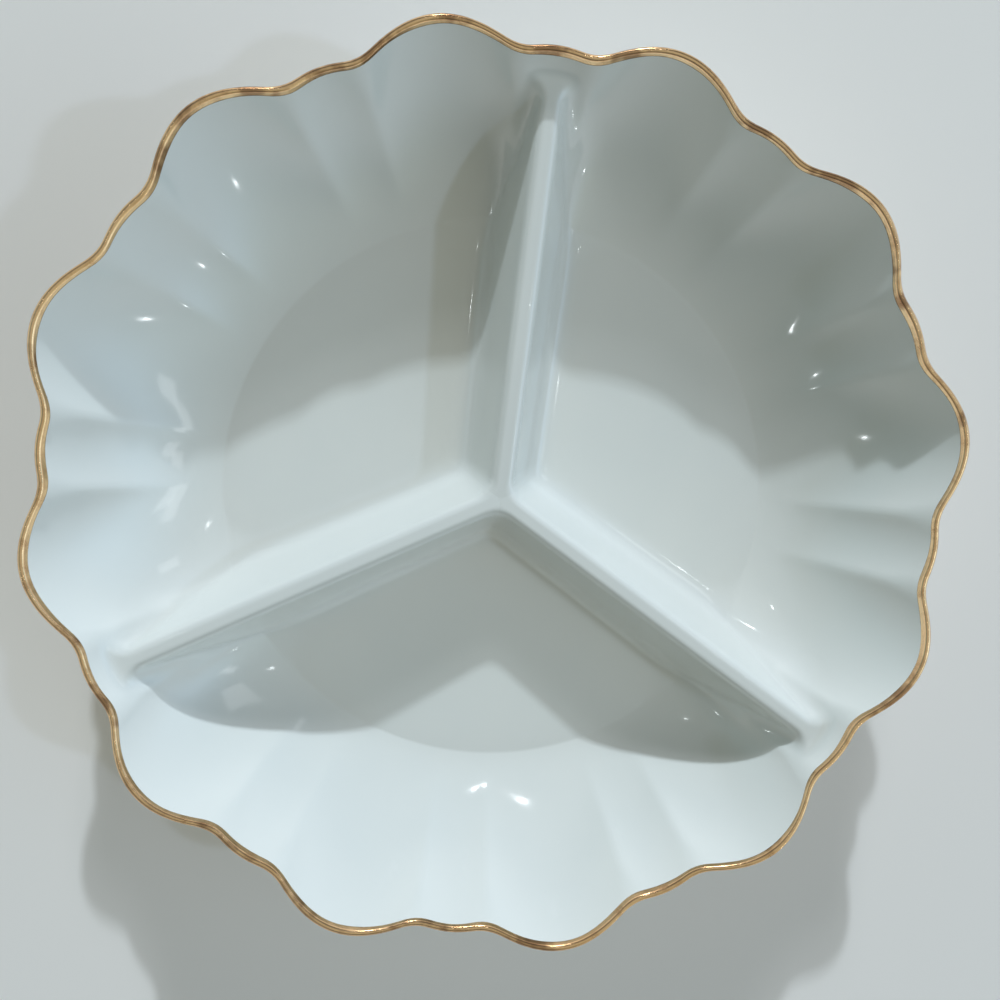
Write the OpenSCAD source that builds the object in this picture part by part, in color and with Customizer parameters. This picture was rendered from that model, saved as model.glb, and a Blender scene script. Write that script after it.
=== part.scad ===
// A low, round serving bowl of glazed porcelain with a fluted wall, a scalloped gilt rim
// and three dividers that meet at a hub and part it into three equal compartments.
// It stands on the plane z = 0, centred on the Z axis, with one divider along +Y.
// Bearings are counted clockwise from +Y, as seen from above.

/* [Rim] */
// Radius of the rim's inner edge at the cusps, where a wide and a narrow flute meet
cusp_r = 123.4; // [115:0.2:150]
// How far a wide flute swells out beyond the cusps
wide_flute_out = 7.7; // [0.5:0.1:12]
// How far a narrow flute swells out beyond the cusps
narrow_flute_out = 1.2; // [0:0.1:4]
// How much higher the rim stands on a wide flute than at the cusps
flute_rise = 2.4; // [0:0.1:5]
// How far the rim is drawn in at each divider, and let out midway between two
rim_draw = 1; // [0:0.1:3]
// How far the rim dips at each divider, and rises midway between two
rim_dip = 0.8; // [0:0.1:2]
// How far the fired rim has spread to the left and right, and shrunk at front and back
rim_oval = 1; // [0:0.1:3]
// Thickness of the wall at the lip
lip_t = 2; // [1.6:0.1:4]

/* [Flutes] */
// Number of wide flutes, each with a narrow one beside it
flute_pairs = 12; // [9:3:15]
// Share of each pair that its narrow flute takes
narrow_share = 0.33; // [0.2:0.01:0.5]
// Share of the way up the wall at which the flutes begin, with rounded ends
flute_start = 0.14; // [0:0.01:0.4]
// How much faster the flutes open at their ends than on average
flute_bow = 0.5; // [0:0.05:0.9]

/* [Wall and floor] */
// Depth from the rim's cusps to the floor
depth = 33; // [30:0.5:50]
// Radius at which the wall would meet the floor if the corner were sharp
floor_r = 85; // [65:0.5:92]
// Thickness of the floor
floor_t = 4.5; // [3:0.1:8]
// Reach of the soft corner above and below the floor's level
corner_blend = 0.4; // [0.3:0.1:3]
// Slope of the wall at its foot, as a share of its mean slope
start_slope_share = 0.3; // [0.15:0.01:1]

/* [Foot ring] */
// Height of the foot ring under the floor
foot_h = 5; // [4.6:0.1:9]
// Width of the foot ring where it stands
foot_w = 4; // [2.5:0.1:8]
// How far the foot ring stands in from the edge of the flat underside
foot_inset = 5; // [0:0.1:10]
// Lean of the foot ring's two sides, in degrees
foot_draft = 14; // [0:1:25]
// Radius of the foot ring's two lower edges
foot_edge_r = 0.8; // [0.2:0.1:1.2]

/* [Dividers] */
// Height of the ridges above the floor at the hub
hub_h = 20.5; // [14:0.5:24]
// Height of the ridges above the floor where they reach the wall
end_h = 27; // [14:0.5:28]
// Radius of the rounded ridge
ridge_r = 4; // [2:0.1:5]
// Lean of a divider's two sides, in degrees
divider_draft = 20; // [5:1:26]
// Radius of the hollow curve between a divider and the floor
divider_fillet_r = 9; // [3:0.5:11]

/* [Gilding] */
// Thickness of the gilt band over the lip
gilt_t = 0.3; // [0.1:0.05:0.6]
// How far the gilding runs down the inner face
gilt_in = 1; // [0.4:0.1:4]
// How far the gilding runs down the outer face
gilt_out = 2; // [0.4:0.1:6]

/* [Hidden] */

porcelain = [0.93, 0.93, 0.88];
bare_clay = [0.86, 0.83, 0.76];
gold = [0.80, 0.60, 0.27];

// Counts of steps around a narrow and a wide flute, and of rows up the wall and over the lip
narrow_steps = 6;
wide_steps = 14;
inner_rows = 9;
outer_rows = 6;
lip_steps = 4;
// Counts of steps over half the ridge, over half the foot curve and along a divider
ridge_steps = 4;
fillet_steps = 5;
length_steps = 3;
// Counts of the columns that a divider's end covers to each side, and of steps round a foot edge
end_columns = narrow_steps + wide_steps;
edge_steps = 4;
round_steps = 180;

dividers = 3;
divider_turn = 360 / dividers;
pair_turn = 360 / flute_pairs;
pair_steps = narrow_steps + wide_steps;
columns = flute_pairs * pair_steps;

// Places that follow from the sizes above
floor_z = foot_h + floor_t;
wall_run = cusp_r - floor_r;
wall_length = norm([wall_run, depth]);
// Share of the wall at which the flat floor ends, where the rise is minus corner_blend
flat_u = -corner_blend / (depth * start_slope_share);
flat_r = floor_r + wall_run * flat_u;
gilt_in_u = 1 - gilt_in / wall_length;
gilt_out_u = 1 - gilt_out / wall_length;
// How far the cutting block for the dividers' ends runs past the floor and the rim
overrun = floor_t;

// Outline of the rim

// Bearing of column number j: the columns crowd evenly over each narrow and each wide flute
function bearing(j) =
    let (k = (j + columns) % pair_steps, pair = floor((j + columns) / pair_steps) - flute_pairs)
    pair_turn * (pair - narrow_share / 2
        + (k < narrow_steps ? narrow_share * k / narrow_steps
            : narrow_share + (1 - narrow_share) * (k - narrow_steps) / wide_steps));

// Swell of the flutes at a bearing: half a sine wave over each flute, zero at the cusps
function swell(b, narrow_out, wide_out) =
    let (turned = b / pair_turn + narrow_share / 2, place = turned - floor(turned))
    place < narrow_share ? narrow_out * sin(180 * place / narrow_share)
        : wide_out * sin(180 * (place - narrow_share) / (1 - narrow_share));

// How far the rim lies outside and above the plain circle through the cusps
function rim_out(b) =
    swell(b, narrow_flute_out, wide_flute_out) - rim_draw * cos(dividers * b) - rim_oval * cos(2 * b);
function rim_up(b) = swell(b, 0, flute_rise) - rim_dip * cos(dividers * b);

// Profile of the wall, where u runs from flat_u at the floor's edge to 1 at the rim

function rise(u) = depth * (start_slope_share * u + (1 - start_slope_share) * pow(max(u, 0), 2));
function rise_rate(u) = depth * (start_slope_share + 2 * (1 - start_slope_share) * max(u, 0));

// How far the flutes have opened at u, from 0 at their ends near the floor to 1 at the rim, and its rate
function opened(u) = max(u - flute_start, 0) / (1 - flute_start);
function fade(u) = opened(u) * (1 + flute_bow * (1 - opened(u)));
function fade_rate(u) = u > flute_start ? (1 + flute_bow * (1 - 2 * opened(u))) / (1 - flute_start) : 0;

// Larger of zero and the rise, with the corner rounded off by a parabola
function soft_rise(h) = max(h, 0) + pow(max(corner_blend - abs(h), 0), 2) / (4 * corner_blend);
function soft_share(h) = min(max(1 / 2 + h / (2 * corner_blend), 0), 1);

// Radius and height of a point of the inner face, and the wall's direction there
function inner_point(u, b) =
    [floor_r + wall_run * u + rim_out(b) * fade(u), floor_z + soft_rise(rise(u)) + rim_up(b) * fade(u)];
function wall_direction(u, b) =
    let (d = [wall_run + rim_out(b) * fade_rate(u),
            soft_share(rise(u)) * rise_rate(u) + rim_up(b) * fade_rate(u)])
    d / norm(d);
function outward(d) = [d.y, -d.x];

function thickness(u) = floor_t + (lip_t - floor_t) * (u - flat_u) / (1 - flat_u);
function outer_point(u, b) = inner_point(u, b) + thickness(u) * outward(wall_direction(u, b));

// Point of the half-round lip: turn runs from 0 at the inner face to 180 at the outer one
function lip_point(turn, b, skin = 0) =
    let (d = wall_direction(1, b), n = outward(d))
    inner_point(1, b) + n * lip_t / 2 + (lip_t / 2 + skin) * (d * sin(turn) - n * cos(turn));

function lip_line(b, skin = 0) = [for (i = [0 : lip_steps]) lip_point(180 * i / lip_steps, b, skin)];
function inner_line(b) =
    [for (i = [0 : inner_rows]) inner_point(flat_u + (gilt_in_u - flat_u) * i / inner_rows, b)];
function outer_line(b) =
    [for (i = [outer_rows : -1 : 0]) outer_point(flat_u + (gilt_out_u - flat_u) * i / outer_rows, b)];

function backwards(list) = [for (i = [len(list) - 1 : -1 : 0]) list[i]];
function on_bearing(line, b) = [for (p = line) [p.x * sin(b), p.x * cos(b), p.y]];

// Triangles between neighbouring rings of n points each; a ring, and the row of rings, may close
function skin_faces(rings, n, closed_row, closed_ring) =
    [for (j = [0 : rings - (closed_row ? 1 : 2)], i = [0 : n - (closed_ring ? 1 : 2)])
        let (k = (j + 1) % rings, m = (i + 1) % n)
        each [[j * n + i, j * n + m, k * n + m], [j * n + i, k * n + m, k * n + i]]];

// Solid through a row of closed rings, closed at both ends by fans about each ring's first point
module loft(rings) {
    n = len(rings[0]);
    last = (len(rings) - 1) * n;
    polyhedron(
        points = [for (ring = rings) each ring],
        faces = concat(
            skin_faces(len(rings), n, false, true),
            [for (i = [1 : n - 2]) each [[0, i + 1, i], [last, last + i, last + i + 1]]]));
}

// Floor and fluted wall in one piece, with a flat floor and a flat underside
module bowl_shell() {
    lines = [for (j = [0 : columns - 1])
        let (b = bearing(j))
        on_bearing(concat(inner_line(b), lip_line(b), outer_line(b)), b)];
    n = len(lines[0]);
    color(porcelain)
        polyhedron(
            points = [for (line = lines) each line],
            faces = concat(
                skin_faces(columns, n, true, false),
                [[for (j = [0 : columns - 1]) j * n], [for (j = [columns - 1 : -1 : 0]) j * n + n - 1]]));
}

// Gold over the lip: it feathers out on both faces of the wall
module gilt_rim() {
    rings = [for (j = [0 : columns - 1])
        let (b = bearing(j))
        on_bearing(concat([inner_point(gilt_in_u, b)], lip_line(b, gilt_t), [outer_point(gilt_out_u, b)],
            backwards(lip_line(b))), b)];
    color(gold)
        polyhedron(
            points = [for (ring = rings) each ring],
            faces = skin_faces(columns, len(rings[0]), true, true));
}

// One side of a divider's section, from the top of a ridge of height h down to the floor
function half_section(h) =
    let (a = divider_draft,
        both_r = ridge_r + divider_fillet_r,
        half_w = both_r * cos(a) + (h - both_r + both_r * sin(a)) * tan(a))
    concat(
        [for (i = [0 : ridge_steps])
            let (t = 90 - (90 - a) * i / ridge_steps)
            [ridge_r * cos(t), h - ridge_r + ridge_r * sin(t)]],
        [for (i = [0 : fillet_steps])
            let (t = a + (90 - a) * i / fillet_steps)
            [half_w - divider_fillet_r * cos(t), divider_fillet_r - divider_fillet_r * sin(t)]]);

// Whole section as a closed ring that starts at the middle of its base
function section(h) =
    let (half = half_section(h))
    concat([[0, 0]], [for (p = backwards(half)) p], [for (i = [1 : len(half) - 1]) [-half[i].x, half[i].y]]);

// Divider along +Y, mitred at the hub and longer than it is in the end
module divider_block() {
    loft([for (j = [0 : length_steps])
        let (t = j / length_steps, h = hub_h + (end_h - hub_h) * t)
        [for (p = section(h))
            let (mitre = abs(p.x) / tan(divider_turn / 2))
            [p.x, mitre + (cusp_r - mitre) * t, floor_z + p.y]]]);
}

// What the wall takes away from a divider's end: all that lies outside the inner face
module wall_side(b) {
    middle = round(b / pair_turn) * pair_steps + narrow_steps / 2;
    far = cusp_r + wide_flute_out + rim_draw + rim_oval + overrun;
    loft([for (j = [middle - end_columns : middle + end_columns])
        let (c = bearing(j))
        on_bearing(concat([[far, floor_z - overrun], [flat_r, floor_z - overrun]], inner_line(c),
            [inner_point(1, c), [far, inner_point(1, c).y]]), c)]);
}

module divider(number) {
    b = divider_turn * number;
    color(porcelain)
        difference() {
            rotate([0, 0, -b]) divider_block();
            wall_side(b);
        }
}

module divider_rear() {
    divider(0);
}

module divider_right() {
    divider(1);
}

module divider_left() {
    divider(2);
}

// Ring under the floor: sides that lean in towards the ground and two rounded lower edges
module foot_ring() {
    outer_r = flat_r - foot_inset;
    lean = foot_h * tan(foot_draft);
    inner_r = outer_r - 2 * lean - foot_w;
    // Angle that each lower edge turns through, and its setback along the ground
    turn = 90 - foot_draft;
    setback = foot_edge_r * tan(turn / 2);
    color(bare_clay)
        rotate_extrude($fn = round_steps)
            polygon(concat(
                [[inner_r, foot_h]],
                [for (i = [0 : edge_steps])
                    let (t = 180 + foot_draft + turn * i / edge_steps)
                    [inner_r + lean + setback + foot_edge_r * cos(t), foot_edge_r + foot_edge_r * sin(t)]],
                [for (i = [0 : edge_steps])
                    let (t = 270 + turn * i / edge_steps)
                    [outer_r - lean - setback + foot_edge_r * cos(t), foot_edge_r + foot_edge_r * sin(t)]],
                [[outer_r, foot_h]]));
}

bowl_shell();
divider_rear();
divider_right();
divider_left();
foot_ring();
gilt_rim();
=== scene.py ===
from math import cos, pi, radians, sin, tan

import bpy
import numpy as np
from mathutils import Euler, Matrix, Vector


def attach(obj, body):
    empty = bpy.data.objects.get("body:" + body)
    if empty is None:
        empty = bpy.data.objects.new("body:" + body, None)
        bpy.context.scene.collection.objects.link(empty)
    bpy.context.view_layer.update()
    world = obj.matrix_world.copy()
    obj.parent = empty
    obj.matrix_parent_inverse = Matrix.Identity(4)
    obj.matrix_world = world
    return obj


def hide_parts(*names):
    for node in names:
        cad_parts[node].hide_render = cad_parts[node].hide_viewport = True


# A divided serving bowl of glazed porcelain, with a fluted wall, a gilt rim and three dividers
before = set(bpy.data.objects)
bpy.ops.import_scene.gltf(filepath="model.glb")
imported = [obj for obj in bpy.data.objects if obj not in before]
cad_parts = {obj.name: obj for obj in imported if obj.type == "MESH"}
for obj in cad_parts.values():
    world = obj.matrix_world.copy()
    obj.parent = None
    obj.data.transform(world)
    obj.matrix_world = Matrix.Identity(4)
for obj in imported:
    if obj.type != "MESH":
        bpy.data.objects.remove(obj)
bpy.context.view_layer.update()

# Sizes in millimetres, close to those of the solids, and angles in radians
MM = 0.001

# Rim: radius of the cusps, how far the wide and narrow flutes stand out of it, how far the wide ones rise
# over it, and the small waves that draw it in at the dividers, dip it there and make it slightly oval
CUSP_R, WIDE_OUT, NARROW_OUT, RISE = 123.5, 7.6, 1.5, 2.4
DRAW, DIP, OVAL = 1.0, 0.8, 1.0

# Flutes: pairs of a wide and a narrow one, the narrow one's share of a pair, the share up the wall at which
# they begin, and how much faster they open there than on average
PAIRS, NARROW_SHARE, FLUTE_START, FLUTE_BOW = 12, 0.33, 0.14, 0.5

# Wall and floor: height of the wall, radius of the floor's edge, thickness at the floor and at the lip, and
# the share of the wall's rise that is straight
DEPTH, FLOOR_R, FLOOR_T, LIP_T, START_SLOPE = 33.0, 85.0, 4.5, 1.7, 0.3

# Reach of the solids' soft corner below the floor's level, which sets where the flat floor ends
FLAT_REACH = 0.4

# Foot ring: height, width of the standing edge, inset from the flat underside's edge, lean of its sides, the
# radii of its standing edges and of the hollow curves up to the floor, and how far its top is sunk in there
FOOT_H, FOOT_W, FOOT_INSET, FOOT_DRAFT = 5.0, 4.0, 5.0, radians(14)
FOOT_EDGE_R, FOOT_HOLLOW_R, FOOT_SEAT = 0.8, 1.6, 0.3

# Dividers: height of the ridge over the floor at the hub and the wall, its round, and the lean of the flanks
HUB_H, END_H, RIDGE_R, DRAFT = 20.5, 27.0, 4.0, radians(20)

# Gold: how far it runs down the inner and the outer face, its skin at the edges and in the middle, and how
# deep its back is sunk at the edges and in the middle
GILT_IN, GILT_OUT = 0.8, 2.0
GILT_SKIN, GILT_BACK = (0.03, 0.2), (-0.15, -0.2)

FLOOR_Z = FOOT_H + FLOOR_T
WALL_RUN = CUSP_R - FLOOR_R
WALL_LENGTH = float(np.hypot(WALL_RUN, DEPTH))

# The share up the wall, below zero, and the radius inside which the floor is flat
FLAT_UP = -FLAT_REACH / (DEPTH * START_SLOPE)
FLAT_R = FLOOR_R + WALL_RUN * FLAT_UP

# How softly shapes run into each other: the cusps of the rim, the creases below it, the kinks in the rim's
# rise, the beginning of the flutes as a share of the wall, and the corner at the floor's edge
CUSP_REACH, CREASE_REACH, CUSP_RISE_REACH, START_REACH, CORNER_REACH = 3.2, 1.0, 1.2, 0.08, 0.13

# The share up the wall from which the creases soften towards the cusps
SOFT_FROM = 0.82

# Softness of the dividers at the hub, at their foot on the floor and at their ends on the wall, and the
# radii between which the foot passes into the end
HUB_REACH, FOOT_REACH, END_REACH = 5.0, 8.0, 2.6
END_FROM, END_TO = 84, 104

# Radii of a divider's sweep along the wall, low down and at the ridge, the heights over the middle of the
# ridge's round between which one passes into the other, and half the ridge's flat middle
FLARE_R, CROWN_FLARE_R = 12.0, 7.0
SWEEP_FROM, SWEEP_TO = -10, 1
CROWN_FLAT = 1.0

# The ridge's flat middle takes its width from the round, and its flanks stay where the solids have them
CROWN_R = RIDGE_R - CROWN_FLAT * cos(DRAFT) / (1 - sin(DRAFT))


# The bowl's form

def soft_max(a, b, reach):
    """The larger of two values, with the kink where they cross rounded off over the reach by a parabola."""
    return np.maximum(a, b) + np.maximum(reach - np.abs(a - b), 0) ** 2 / (4 * reach)


def soft_min(a, b, reach):
    """The smaller of two values, with the kink where they cross rounded off over the reach by a cubic."""
    return np.minimum(a, b) - np.maximum(reach - np.abs(a - b), 0) ** 3 / (6 * reach ** 2)


def smooth(value, low, high):
    """0 below low, 1 above high, with a smooth run between."""
    share = np.clip((value - low) / (high - low), 0, 1)
    return share * share * (3 - 2 * share)


def wave(off, share, height):
    """Half a cosine wave over a flute's share of its pair, run on as straight lines below zero beyond it."""
    inside = height * np.cos(pi * np.clip(off / share, -0.5, 0.5))
    return inside - height * pi * np.maximum(np.abs(off) - share / 2, 0) / share


def swell(bearing, narrow, wide, reach):
    """How far the narrow and the wide flutes swell out at a bearing, as one line with soft cusps."""
    turned = bearing * PAIRS / (2 * pi)
    off_narrow = turned - np.round(turned)
    off_wide = turned - 0.5 - np.round(turned - 0.5)
    narrow_wave = wave(off_narrow, NARROW_SHARE, narrow)
    wide_wave = wave(off_wide, 1 - NARROW_SHARE, wide)
    return soft_max(narrow_wave, wide_wave, reach)


def rim_out(bearing, up=1.0):
    """How far the rim lies outside the plain circle through the cusps: the swell of the flutes less a wave
    with three crests and one with two. Below the rim the creases are crisper."""
    reach = CREASE_REACH + (CUSP_REACH - CREASE_REACH) * smooth(np.asarray(up), SOFT_FROM, 1)
    flutes = swell(bearing, NARROW_OUT, WIDE_OUT, reach)
    return flutes - DRAW * np.cos(3 * bearing) - OVAL * np.cos(2 * bearing)


def rim_up(bearing):
    """How far the rim stands above the plane of the cusps."""
    return swell(bearing, 0, RISE, CUSP_RISE_REACH) - DIP * np.cos(3 * bearing)


def wall_rise(up):
    """Height of the plain wall over the floor, and its rate of change. It rises as a mix of the share up the
    wall and that share squared, and the corner at its foot is rounded off by a parabola."""
    above = np.maximum(up, 0)
    rise = DEPTH * (START_SLOPE * up + (1 - START_SLOPE) * above ** 2)
    rate = DEPTH * (START_SLOPE + 2 * (1 - START_SLOPE) * above)
    soft = np.maximum(rise, 0) + np.maximum(CORNER_REACH - np.abs(rise), 0) ** 2 / (4 * CORNER_REACH)
    return soft, rate * np.clip(0.5 + rise / (2 * CORNER_REACH), 0, 1)


def opening(up):
    """How far the flutes have opened, from 0 at their rounded ends near the floor to 1 at the rim, and the
    rate of that: the share of the way from their beginning, bowed by a parabola."""
    over = (up - FLUTE_START) / (1 - FLUTE_START)
    share = soft_max(over, 0, START_REACH)
    rate = np.clip(0.5 + over / (2 * START_REACH), 0, 1) / (1 - FLUTE_START)
    return share * (1 + FLUTE_BOW * (1 - share)), rate * (1 + FLUTE_BOW * (1 - 2 * share))


def inner_face(up, bearing):
    """Radius and height of the inner face: the plain wall, and the rim's swell and rise as far as the flutes
    have opened."""
    opened = opening(up)[0]
    r = FLOOR_R + WALL_RUN * up + rim_out(bearing, up) * opened
    return r, FLOOR_Z + wall_rise(up)[0] + rim_up(bearing) * opened


def wall_direction(up, bearing):
    """Unit direction up the inner face in the upright plane through the axis, as its out and up parts."""
    rate = opening(up)[1]
    out = WALL_RUN + rim_out(bearing, up) * rate
    high = wall_rise(up)[1] + rim_up(bearing) * rate
    length = np.hypot(out, high)
    return out / length, high / length


def outer_face(up, bearing):
    """Radius and height of the outer face: the inner face moved out by the wall's thickness."""
    r, z = inner_face(up, bearing)
    out, high = wall_direction(up, bearing)
    thick = FLOOR_T + (LIP_T - FLOOR_T) * (up - FLAT_UP) / (1 - FLAT_UP)
    return r + thick * high, z - thick * out


def lip(turn, bearing, skin=0.0):
    """Radius and height of the half-round lip, from turn 0 at the inner face to pi at the outer one."""
    r, z = inner_face(1.0, bearing)
    out, high = wall_direction(1.0, bearing)
    half = LIP_T / 2
    return (r + high * half + (half + skin) * (out * np.sin(turn) - high * np.cos(turn)),
            z - out * half + (half + skin) * (high * np.sin(turn) + out * np.cos(turn)))


def on_bearing(r, z, bearing):
    """Points in space from radii, heights and bearings, which run clockwise from +Y."""
    r, z, bearing = np.broadcast_arrays(r, z, bearing)
    return np.stack([r * np.sin(bearing), r * np.cos(bearing), z], axis=-1)


# Bearings of the columns: close together within so many degrees of each divider, with one exactly midway
# between two dividers
CLOSE_TURN = 10
half_turn = np.concatenate([np.linspace(0, CLOSE_TURN, 29), np.linspace(CLOSE_TURN, 60, 73)[1:]])
third = np.concatenate([-half_turn[:0:-1], half_turn])[:-1]
BEARINGS = np.radians(np.concatenate([third + 120 * i for i in range(3)]))
COLUMNS = len(BEARINGS)
THIRD = COLUMNS // 3

# Rows of the inner face: radii over the floor, a millimetre apart round the hub, then shares up the wall,
# close together on both sides of the floor's edge
HUB_ROWS_R, EDGE_ROWS_UP = 26, 0.015
FLOOR_ROWS = np.concatenate([np.arange(HUB_ROWS_R), np.linspace(HUB_ROWS_R, FLAT_R, 34)[:-1]])
WALL_ROWS = np.concatenate([np.linspace(FLAT_UP, -EDGE_ROWS_UP, 4),
                            np.linspace(-EDGE_ROWS_UP, EDGE_ROWS_UP, 9)[1:],
                            np.linspace(EDGE_ROWS_UP, 1, 46)[1:]])


def inner_grid():
    """Points of the whole inner face, one row from the axis outwards per radius, one column per bearing."""
    floor = on_bearing(FLOOR_ROWS[:, None], FLOOR_Z, BEARINGS[None, :])
    wall = on_bearing(*inner_face(WALL_ROWS[:, None], BEARINGS[None, :]), BEARINGS[None, :])
    return np.concatenate([floor, wall])


# Search for the dividers' surface: how high it looks, how often it halves, and the least height it counts
TALLEST, HALVINGS, THINNEST = 40, 40, 0.002


def ridge_distance(points, height, gap):
    """Distance of points from the dividers: a wedge with a round ridge, along three rays that meet at the
    axis. Its sides sweep out in a hollow quarter circle where the gap to the wall behind closes, tighter at
    the ridge."""
    across, along = [], []
    for i in range(3):
        turn = 2 * pi * i / 3
        forward = points[..., 0] * sin(turn) + points[..., 1] * cos(turn)
        aside = np.abs(points[..., 0] * cos(turn) - points[..., 1] * sin(turn))
        across.append(np.where(forward > 0, aside, np.hypot(points[..., 0], points[..., 1])))
        along.append(forward)
    beside = soft_min(soft_min(across[0], across[1], HUB_REACH), across[2], HUB_REACH)
    forward = np.maximum(np.maximum(along[0], along[1]), along[2])
    above = height - (FLOOR_Z + HUB_H + (END_H - HUB_H) * forward / CUSP_R - CROWN_R)
    sweep = FLARE_R + (CROWN_FLARE_R - FLARE_R) * smooth(above, SWEEP_FROM, SWEEP_TO)
    flare = sweep - np.sqrt(sweep ** 2 - np.clip(sweep - gap, 0, sweep) ** 2)
    beside = np.maximum(beside - CROWN_FLAT - flare, 0)
    flank = beside * cos(DRAFT) + above * sin(DRAFT) - CROWN_R
    crown = np.hypot(beside, above) - CROWN_R
    return np.where(beside * sin(DRAFT) > above * cos(DRAFT), flank, crown)


def lifted(grid):
    """How far the dividers lift each point of the grid: the height above it at which the soft union of bowl
    and dividers is zero, found by halving. The gap to the wall is the height over the wall's slope, and on
    the floor the way to its edge besides."""
    up = np.concatenate([(FLOOR_ROWS - FLOOR_R) / WALL_RUN, WALL_ROWS])[:, None]
    lean = 1 / np.hypot(1, wall_rise(up)[1] / WALL_RUN)
    steep = WALL_RUN / (DEPTH * (START_SLOPE + 2 * (1 - START_SLOPE) * np.maximum(up, 0)))
    inset = WALL_RUN * np.maximum(-up, 0)
    radius = np.hypot(grid[..., 0], grid[..., 1])
    reach = FOOT_REACH + (END_REACH - FOOT_REACH) * smooth(radius, END_FROM, END_TO)
    low = grid[..., 2].copy()
    high = low + TALLEST
    for _ in range(HALVINGS):
        middle = (low + high) / 2
        over = middle - grid[..., 2]
        under = soft_min(over * lean, ridge_distance(grid, middle, over * steep + inset), reach) < 0
        low = np.where(under, middle, low)
        high = np.where(under, high, middle)
    lift = low - grid[..., 2]
    return np.where(lift > THINNEST, lift, 0)


def unit(vectors):
    """Vectors over their own lengths, save those of no length."""
    return vectors / np.maximum(np.linalg.norm(vectors, axis=-1, keepdims=True), 1e-12)


def grid_normals(points):
    """Unit normals of a grid whose columns close round the axis, from the differences between neighbours."""
    along = np.gradient(points, axis=0)
    around = np.roll(points, -1, axis=1) - np.roll(points, 1, axis=1)
    return unit(np.cross(around, along))


# Meshes

def make_piece(name, points, faces, normals, nodes, material):
    """A closed mesh piece from points in millimetres, arrays of faces with three or four corners, and one
    normal for each corner of each face."""
    mesh = bpy.data.meshes.new(name)
    mesh.from_pydata((points * MM).tolist(), [], [f for block in faces for f in block.tolist()])
    mesh.polygons.foreach_set("use_smooth", np.ones(len(mesh.polygons), dtype=bool))
    mesh.update()
    mesh.normals_split_custom_set(np.concatenate([n.reshape(-1, 3) for n in normals]).tolist())
    mesh.materials.append(material)
    piece = bpy.data.objects.new(name, mesh)
    bpy.context.scene.collection.objects.link(piece)
    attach(piece, "root")
    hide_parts(*nodes)
    return piece


def flat_normals(points, faces):
    """The face's own normal at each of its corners."""
    a, b, c = (points[faces[:, i]] for i in range(3))
    return np.repeat(unit(np.cross(b - a, c - a))[:, None, :], faces.shape[1], axis=1)


def ring_faces(rows, columns, close_rows=False):
    """Quads between the rows of a grid whose columns close, wound so that rows that run outwards face up."""
    i = np.arange(rows if close_rows else rows - 1)[:, None]
    j = np.arange(columns)[None, :]
    k, m = (i + 1) % rows, (j + 1) % columns
    corners = [i * columns + j, i * columns + m, k * columns + m, k * columns + j]
    return np.stack(corners, axis=-1).reshape(-1, 4)


def swept_piece(name, r, z, nodes, slot, material):
    """A closed ring: a section carried round the axis, where r and z have a row for each point of the section
    and a column for each bearing."""
    points = on_bearing(r, z, BEARINGS[None, :])
    faces = ring_faces(len(points), COLUMNS, close_rows=True)
    along = np.roll(points, -1, axis=0) - np.roll(points, 1, axis=0)
    around = np.roll(points, -1, axis=1) - np.roll(points, 1, axis=1)
    normals = unit(np.cross(around, along)).reshape(-1, 3)
    return make_piece(name, points.reshape(-1, 3), [faces], [normals[faces]], nodes, material)


def make_shell(inner, inner_normals, material):
    """Floor, wall, lip, outer face and underside, as one closed grid between a point on the axis above and
    one below. Near the dividers its normals are those of the soft union, so that no seam shows."""
    turns = np.linspace(0, pi, 11)[1:-1]
    over = on_bearing(*lip(turns[:, None], BEARINGS[None, :]), BEARINGS[None, :])
    down = np.linspace(1, FLAT_UP, 34)[:, None]
    outside = on_bearing(*outer_face(down, BEARINGS[None, :]), BEARINGS[None, :])
    under = on_bearing(np.linspace(FLAT_R, 0, 8)[1:-1, None], FOOT_H, BEARINGS[None, :])
    rest = np.concatenate([inner[-2:], over, outside, under])
    rest_normals = grid_normals(rest)[2:]
    rings = np.concatenate([inner[1:], rest[2:]])
    ring_normals = np.concatenate([inner_normals[1:-1], grid_normals(rest)[1:2], rest_normals])
    rows = len(rings)
    points = np.concatenate([rings.reshape(-1, 3), [inner[0, 0], [0, 0, FOOT_H]]])
    normals = np.concatenate([ring_normals.reshape(-1, 3), [[0, 0, 1], [0, 0, -1]]])
    j = np.arange(COLUMNS)
    m = (j + 1) % COLUMNS
    top = np.stack([np.full(COLUMNS, rows * COLUMNS), m, j], axis=-1)
    last = (rows - 1) * COLUMNS
    bottom = np.stack([np.full(COLUMNS, rows * COLUMNS + 1), last + j, last + m], axis=-1)
    faces = [top, bottom, ring_faces(rows, COLUMNS)]
    corner_normals = [normals[f] for f in faces]
    return make_piece("shell", points, faces, corner_normals, ["bowl_shell"], material)


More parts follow.
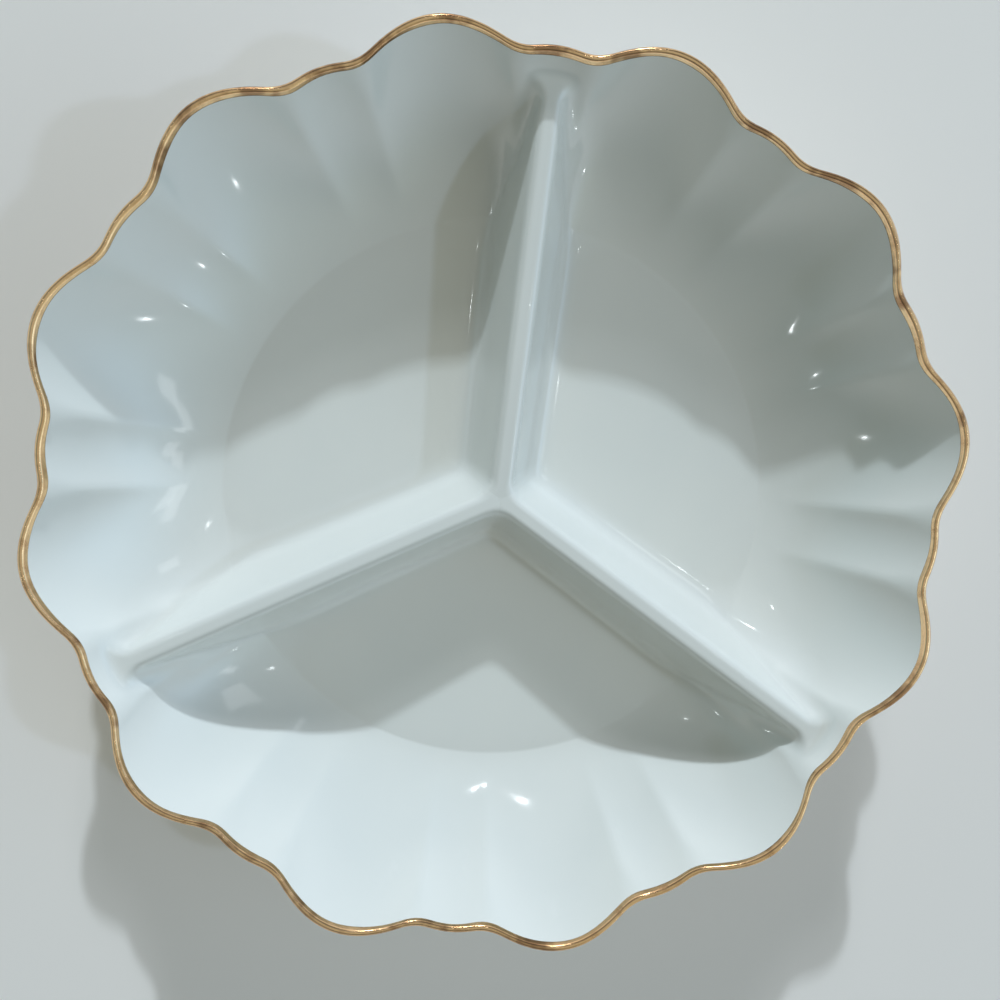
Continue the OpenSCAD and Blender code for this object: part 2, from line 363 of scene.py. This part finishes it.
def make_divider(number, name, node, inner, lift, tops, top_normals, material):
    """The part of the soft union that stands above the shell within 60 degrees of one divider. Its underside
    is the shell's face, its sides at the hub are upright planes, and its foot feathers out to nothing."""
    columns = (np.arange(-THIRD // 2, THIRD // 2 + 1) + THIRD // 2 + number * THIRD) % COLUMNS
    low, high = inner[:, columns], tops[:, columns]
    up = lift[:, columns]
    facing = top_normals[:, columns]
    rows, width = up.shape
    stands = up > 0
    a, b, c, d = stands[:-1, :-1], stands[:-1, 1:], stands[1:, 1:], stands[1:, :-1]
    index = np.arange(rows * width).reshape(rows, width)
    index[0] = 0
    upper = index
    lower = np.where(stands, index + rows * width, index)

    def cells(chosen, corners):
        """Faces above and below the chosen cells of the grid, with the named corners."""
        i, j = np.nonzero(chosen)
        at = {"a": (i, j), "b": (i, j + 1), "c": (i + 1, j + 1), "d": (i + 1, j)}
        return [np.stack([upper[at[k]] for k in corners], axis=-1),
                np.stack([lower[at[k]] for k in corners[::-1]], axis=-1)]

    # a cell that stands on all its corners gives a quad, a ragged one at the foot's edge one or two
    # triangles, and one at the axis a triangle
    whole = a & b & c & d
    whole[0] = False
    ragged = ~whole
    ragged[0] = False
    pole = np.zeros_like(whole)
    pole[0] = a[0]
    above, below = zip(cells(whole, "abcd"), cells(ragged & (a | b | c), "abc"),
                       cells(ragged & (a | c | d), "acd"), cells(pole, "acd"))

    # the upright sides, where this divider meets the two others, each end in a triangle where it runs out
    sides_quad, sides_tri = [], []
    for column, flip in ((0, False), (width - 1, True)):
        here = stands[:, column]
        k = np.nonzero(here[:-1] & here[1:])[0]
        corners = [upper[k, column], upper[k + 1, column], lower[k + 1, column], lower[k, column]]
        q = np.stack(corners, axis=-1)
        sides_quad.append(q[:, ::-1] if flip else q)
        k = np.nonzero(here[:-1] & ~here[1:])[0]
        t = np.stack([upper[k, column], upper[k + 1, column], lower[k, column]], axis=-1)
        sides_tri.append(t[:, ::-1] if flip else t)

    points = np.concatenate([high.reshape(-1, 3), low.reshape(-1, 3)])
    normals = facing.reshape(-1, 3)
    blocks = [*above, *below, *sides_quad, *sides_tri]
    corner_normals = [normals[b] for b in above]
    corner_normals += [flat_normals(points, b) for b in blocks[len(above):]]

    # only the points that a face uses are kept
    kept = np.unique(np.concatenate([b.ravel() for b in blocks]))
    renumber = np.zeros(len(points), dtype=int)
    renumber[kept] = np.arange(len(kept))
    faces = [renumber[b] for b in blocks]
    return make_piece(name, points[kept], faces, corner_normals, [node], material)


# Shaders

class Value:
    """A number that a material works out at each point of a surface. Arithmetic on it adds Math nodes."""

    def __init__(self, paint, socket):
        self.paint, self.socket = paint, socket

    def math(self, operation, *others):
        return self.paint.math(operation, self, *others)

    def __add__(self, other):
        return self.math("ADD", other)

    def __sub__(self, other):
        return self.math("SUBTRACT", other)

    def __mul__(self, other):
        return self.math("MULTIPLY", other)

    def __radd__(self, other):
        return self.math("ADD", other)

    def __rmul__(self, other):
        return self.math("MULTIPLY", other)

    def __rsub__(self, other):
        return self.paint.math("SUBTRACT", other, self)

    def __gt__(self, other):
        return self.math("GREATER_THAN", other)

    def between(self, low, high):
        """0 at low, 1 at high, with a smooth run between."""
        return self.paint.node("ShaderNodeMapRange", {"interpolation_type": "SMOOTHSTEP"},
                               {"Value": self, "From Min": low, "From Max": high})


class Paint:
    """The nodes of one material, or of the world."""

    def __init__(self, owner, place="Object"):
        owner.use_nodes = True
        self.owner, self.tree = owner, owner.node_tree
        self.tree.nodes.clear()
        self.place = self.node("ShaderNodeTexCoord", {}, {}, place)

    def node(self, kind, settings, inputs, output=0):
        """A node of any kind: its settings first, then its sockets' values or links. It gives one output."""
        made = self.tree.nodes.new(kind)
        for name, setting in settings.items():
            setattr(made, name, setting)
        for name, given in inputs.items():
            socket = made.inputs[name]
            if isinstance(given, Value):
                self.tree.links.new(given.socket, socket)
            else:
                socket.default_value = given
        return Value(self, made.outputs[output]) if made.outputs else None

    def math(self, operation, *values):
        """Math on values and plain numbers."""
        return self.node("ShaderNodeMath", {"operation": operation}, dict(enumerate(values)))

    def vector(self, operation, first, second, output="Vector"):
        """Vector Math on two vectors, or on a vector and a number where the operation is SCALE."""
        inputs = {0: first, (3 if operation == "SCALE" else 1): second}
        return self.node("ShaderNodeVectorMath", {"operation": operation}, inputs, output)

    def noise(self, scale, detail=2.0, rough=0.5):
        """Noise between 0 and 1, of so many waves to the metre with finer ones on them."""
        inputs = {"Vector": self.place, "Scale": scale, "Detail": detail, "Roughness": rough}
        return self.node("ShaderNodeTexNoise", {"noise_dimensions": "3D"}, inputs)

    def mix(self, share, first, second):
        """Two colours mixed by a share. The Mix node's colours are its sockets 6 and 7, and output 2."""
        made = self.tree.nodes.new("ShaderNodeMix")
        made.data_type = "RGBA"
        for socket, given in ((made.inputs[0], share), (made.inputs[6], first), (made.inputs[7], second)):
            if isinstance(given, Value):
                self.tree.links.new(given.socket, socket)
            else:
                socket.default_value = given if isinstance(given, (int, float)) else (*given, 1.0)
        return Value(self, made.outputs[2])

    def bump(self, height, strength, distance):
        """The surface's normal, tilted as if it had this height."""
        inputs = {"Height": height, "Strength": strength, "Distance": distance}
        return self.node("ShaderNodeBump", {}, inputs, "Normal")

    def finish(self, inputs):
        """The surface shader with these sockets, joined to the output."""
        shader = self.node("ShaderNodeBsdfPrincipled", {}, inputs)
        self.node("ShaderNodeOutputMaterial", {}, {"Surface": shader})
        return self.owner


# Colours, and the clear coat and clay's roughness
IVORY_COOL, IVORY_WARM, SPECK_BROWN = (0.748, 0.749, 0.700), (0.768, 0.763, 0.709), (0.20, 0.17, 0.13)
CLAY_DARK, CLAY_PALE, CLAY_ROUGH = (0.66, 0.63, 0.55), (0.80, 0.77, 0.69), 0.75
GOLD_PALE, GOLD_DEEP = (0.88, 0.63, 0.38), (0.80, 0.52, 0.27)
GOLD_THIN, GOLD_WORN = (0.45, 0.24, 0.11), (0.26, 0.13, 0.07)
CLEAR_COAT = 0.6


def glaze(name, bare_below=None):
    """Ivory glaze: two close tones that drift into each other, a very slightly uneven gloss, soft ripples and
    a few pinpoint specks. Given a height in metres, it stops there, and below it is bare ground clay."""
    paint = Paint(bpy.data.materials.new(name))
    drift = paint.noise(14.0, 3.0)
    cloud = paint.noise(55.0, 2.0)
    tone = drift.between(0.35, 0.65) * 0.7 + cloud.between(0.35, 0.65) * 0.3
    colour = paint.mix(tone, IVORY_COOL, IVORY_WARM)

    # a speck is the middle of a cell, in the few cells whose random shade is high
    cells = {"Vector": paint.place, "Scale": 95.0}
    near = paint.node("ShaderNodeTexVoronoi", {}, cells, "Distance")
    shade = paint.node("ShaderNodeTexVoronoi", {}, cells, "Color")
    chance = paint.node("ShaderNodeSeparateColor", {}, {"Color": shade}, "Red")
    speck = (1 - near.between(0.022, 0.040)) * (chance > 0.985)
    colour = paint.mix(speck * 0.7, colour, SPECK_BROWN)

    rough = 0.075 + paint.noise(38.0, 3.0) * 0.05
    ripple = paint.noise(75.0, 2.0) * 0.6 + paint.noise(420.0, 1.0) * 0.05
    inputs = {"Specular IOR Level": 0.5, "IOR": 1.5, "Coat Roughness": 0.05, "Coat IOR": 1.5}
    coat = CLEAR_COAT
    if bare_below is not None:
        height = paint.node("ShaderNodeSeparateXYZ", {}, {"Vector": paint.place}, "Z")
        edge = height + paint.noise(160.0, 2.0) * 0.0006
        bare = 1 - edge.between(bare_below, bare_below + 0.0003)
        grit = paint.noise(1400.0, 3.0)
        clay = paint.mix(grit, CLAY_DARK, CLAY_PALE)
        colour = paint.mix(bare, colour, clay)
        rough = rough * (1 - bare) + bare * CLAY_ROUGH
        coat = (1 - bare) * CLEAR_COAT
        ripple = ripple + bare * grit * 0.5
    return paint.finish({"Base Color": colour, "Roughness": rough, "Coat Weight": coat,
                         "Normal": paint.bump(ripple, 0.35, 0.0002), **inputs})


def gold(name):
    """Bright fired gold, brushed on by hand: thinner and browner in places, with a fine uneven gloss."""
    paint = Paint(bpy.data.materials.new(name))
    thin = paint.noise(210.0, 3.0, 0.6).between(0.48, 0.72)
    worn = paint.noise(62.0, 3.0, 0.65).between(0.53, 0.64)
    drift = paint.noise(45.0, 2.0)
    colour = paint.mix(drift, GOLD_PALE, GOLD_DEEP)
    colour = paint.mix(thin * 0.5, colour, GOLD_THIN)
    colour = paint.mix(worn * 0.7, colour, GOLD_WORN)
    rough = 0.14 + paint.noise(330.0, 2.0) * 0.14 + thin * 0.08
    brush = paint.noise(600.0, 2.0) * 0.5 + paint.noise(160.0, 2.0)
    return paint.finish({"Base Color": colour, "Metallic": 1.0, "Roughness": rough,
                         "Normal": paint.bump(brush, 0.5, 0.0002)})


# The object

porcelain = glaze("ivory_glaze")
inner = inner_grid()
lift = lifted(inner)
tops = inner + np.stack([np.zeros_like(lift), np.zeros_like(lift), lift], axis=-1)
top_normals = grid_normals(tops)
top_normals[0] = (0, 0, 1)
make_shell(inner, top_normals, porcelain)
dividers = (("rear_divider", "divider_rear"), ("right_divider", "divider_right"),
            ("left_divider", "divider_left"))
for number, (name, node) in enumerate(dividers):
    make_divider(number, name, node, inner, lift, tops, top_normals, porcelain)


def gilding():
    """Section of the gold at each bearing: a thin skin that swells over the lip, with edges that waver as a
    sum of sines as if brushed by hand, and a back that is sunk a little into the wall."""
    b = BEARINGS[None, :]
    waver_in = 0.16 * np.sin(7 * b + 1.1) + 0.10 * np.sin(19 * b + 0.4) + 0.06 * np.sin(43 * b + 2.0)
    waver_out = 0.20 * np.sin(5 * b + 2.3) + 0.12 * np.sin(17 * b + 1.7)
    share = np.linspace(0, 1, 5)[:-1, None]
    up_in = 1 - (GILT_IN + waver_in) * (1 - share) / WALL_LENGTH
    up_out = 1 - (GILT_OUT + waver_out) * share[::-1] / WALL_LENGTH
    turns = np.linspace(0, pi, 13)[:, None]

    def skin(high_edge, high_middle):
        """The section's line at a height over the wall that grows from its edges to its middle."""
        out, high = wall_direction(1.0, b)
        grow = high_edge + (high_middle - high_edge) * share
        r, z = inner_face(up_in, b)
        first = (r - high * grow, z + out * grow)
        middle = lip(turns, b, high_middle)
        r, z = outer_face(up_out[::-1], b)
        grow = high_edge + (high_middle - high_edge) * share[::-1]
        last = (r + high * grow, z - out * grow)
        return [np.concatenate(rows) for rows in zip(first, middle, last)]

    front, back = skin(*GILT_SKIN), skin(*GILT_BACK)
    return [np.concatenate([f, g[::-1]]) for f, g in zip(front, back)]


gilt = swept_piece("gilt_edge", *gilding(), ["gilt_rim"], "gilding", gold("fired_gold"))


def foot_section():
    """Section of the foot ring: sides that lean in, round standing edges and hollow curves to the floor."""
    outer = FLAT_R - FOOT_INSET
    lean = FOOT_H * tan(FOOT_DRAFT)
    inner_r = outer - 2 * lean - FOOT_W
    edge, hollow = FOOT_EDGE_R, FOOT_HOLLOW_R
    turn = pi / 2 - FOOT_DRAFT
    setback = edge * tan(turn / 2)
    reach = hollow * tan(turn / 2)
    down = np.linspace(0, 1, 7) * turn

    # from the floor down the inner side, along the ground and up the outer side
    a = pi / 2 - down
    hollow_in = (inner_r - reach + hollow * np.cos(a), FOOT_H - hollow + hollow * np.sin(a))
    a = pi + FOOT_DRAFT + down
    edge_in = (inner_r + lean + setback + edge * np.cos(a), edge + edge * np.sin(a))
    a = 1.5 * pi + down
    edge_out = (outer - lean - setback + edge * np.cos(a), edge + edge * np.sin(a))
    a = pi - FOOT_DRAFT - down
    hollow_out = (outer + reach - hollow * np.cos(pi - a), FOOT_H - hollow + hollow * np.sin(a))
    top = (np.array([outer + reach, inner_r - reach]), np.full(2, FOOT_H + FOOT_SEAT))
    r, z = (np.concatenate(parts)[::-1] for parts in zip(hollow_in, edge_in, edge_out, hollow_out, top))
    return np.repeat(r[:, None], COLUMNS, 1), np.repeat(z[:, None], COLUMNS, 1)


# Height in metres at which the foot's glaze stops
BARE_BELOW = 0.0009
foot_glaze = glaze("foot_glaze", bare_below=BARE_BELOW)
swept_piece("foot", *foot_section(), ["foot_ring"], "foot_porcelain", foot_glaze)


# Floor, light and camera

def make_stage():
    """A plain pale floor on the ground plane, a square with its middle under the bowl."""
    mesh = bpy.data.meshes.new("ground")
    half = 6.0
    corners = [(-half, -half, 0), (half, -half, 0), (half, half, 0), (-half, half, 0)]
    mesh.from_pydata(corners, [], [(0, 1, 2, 3)])
    ground = bpy.data.objects.new("ground", mesh)
    bpy.context.scene.collection.objects.link(ground)
    paint = Paint(bpy.data.materials.new("pale_ground"))
    mesh.materials.append(paint.finish({"Base Color": (0.88, 0.82, 0.76, 1), "Roughness": 0.9}))


def towards(bearing, elevation):
    """Unit vector towards a bearing, clockwise from +Y, and an elevation, both in degrees."""
    b, e = radians(bearing), radians(elevation)
    return Vector((sin(b) * cos(e), cos(b) * cos(e), sin(e)))


# The point in the bowl that the lamps face
AIM = Vector((0, 0, 0.02))


def lamp(name, bearing, elevation, distance, size, power, colour, lights=True, mirrored=True, only=None):
    """A square lamp that faces the bowl. It may light it without being mirrored in the glaze, be mirrored
    without lighting it, or shine on one piece alone."""
    data = bpy.data.lights.new(name, "AREA")
    data.shape, data.size, data.energy, data.color = "SQUARE", size, power, colour
    made = bpy.data.objects.new(name, data)
    made.location = towards(bearing, elevation) * distance + AIM
    made.rotation_euler = towards(bearing, elevation).to_track_quat("Z", "Y").to_euler()
    made.visible_diffuse, made.visible_glossy = lights, mirrored
    if only:
        lit = bpy.data.collections.new(f"{name}_lights")
        lit.objects.link(only)
        made.light_linking.receiver_collection = lit
    bpy.context.scene.collection.objects.link(made)


def make_world(lights, pale):
    """A soft studio: broad lights, each the cosine of the angle from its middle to a power. Round the horizon
    the camera and reflections see a pale backdrop."""
    world = bpy.data.worlds.new("studio")
    bpy.context.scene.world = world
    paint = Paint(world, "Generated")
    glow = (0.0, 0.0, 0.0)
    for bearing, elevation, narrow, tint in lights:
        facing = paint.vector("DOT_PRODUCT", paint.place, towards(bearing, elevation), "Value")
        share = facing.math("MAXIMUM", 0.0).math("POWER", narrow)
        glow = paint.vector("ADD", glow, paint.vector("SCALE", tint, share))
    height = paint.node("ShaderNodeSeparateXYZ", {}, {"Vector": paint.place}, "Z")
    seen = paint.mix(height.between(0.15, 0.55), pale, glow)
    eye = paint.node("ShaderNodeLightPath", {}, {}, "Is Camera Ray")
    gloss = paint.node("ShaderNodeLightPath", {}, {}, "Is Glossy Ray")
    through = paint.node("ShaderNodeLightPath", {}, {}, "Is Transmission Ray")
    colour = paint.mix(eye.math("MAXIMUM", gloss).math("MAXIMUM", through), glow, seen)
    surface = paint.node("ShaderNodeBackground", {}, {"Color": colour})
    paint.node("ShaderNodeOutputWorld", {}, {"Surface": surface})


make_stage()

# A low key light behind the bowl with a soft halo, one that makes the gold sparkle, and a window at the right
KEY_BEARING, KEY_DISTANCE, WINDOW_DISTANCE = -5.8, 6.0, 3.0
lamp("key", KEY_BEARING, 21.6, KEY_DISTANCE, 0.14, 243.0, (0.735, 0.871, 1.0), mirrored=False)
lamp("key_halo", KEY_BEARING, 23.0, KEY_DISTANCE, 0.70, 82.0, (0.845, 0.911, 1.0), mirrored=False)
lamp("gold_sparkle", KEY_BEARING, 22.0, KEY_DISTANCE, 0.60, 60.0, (1.0, 0.95, 0.92), only=gilt)
lamp("side_window", 93, 43, WINDOW_DISTANCE, 0.13, 11.5, (0.539, 0.705, 1.0), mirrored=False)

# Windows only mirrored in the glaze, as bearing, elevation, size and power: small glints, then wide panes
glints = ((-1.5, 54, 0.10, 1.3), (-117, 37, 0.07, 0.5), (129, 23, 0.07, 0.5), (83, 66, 0.06, 0.3),
          (-72, 66, 0.06, 0.3))
panes = ((101, 42, 0.32, 0.55), (96, 47, 0.30, 0.45), (58, 49, 0.60, 1.3))
PANE_TINT = (0.92, 0.97, 1.0)
for number, (bearing, elevation, size, power) in enumerate(glints + panes):
    lamp(f"window_{number}", bearing, elevation, WINDOW_DISTANCE, size, power, PANE_TINT, lights=False)

# Light from above, from windows at the right and left, and a weak warm light from the front right
make_world([(0, 90, 4, (0.55, 0.56, 0.50)), (95, 18, 8, (1.10, 1.58, 2.07)), (-90, 15, 8, (0.39, 0.60, 0.66)),
            (125, 35, 10, (0.38, 0.36, 0.17))], (0.80, 0.80, 0.79))

# The photograph's camera, above the bowl, a little to the left of its middle and behind it
camera = bpy.data.cameras.new("camera")
camera.angle = radians(58)
eye = bpy.data.objects.new("camera", camera)
eye.location = (-0.0208, 0.02366, 0.2935)
eye.rotation_euler = Euler((radians(-5.677), radians(-3.829), radians(7.022)))
bpy.context.scene.collection.objects.link(eye)
bpy.context.scene.camera = eye
bpy.context.scene.view_settings.view_transform = "Standard"
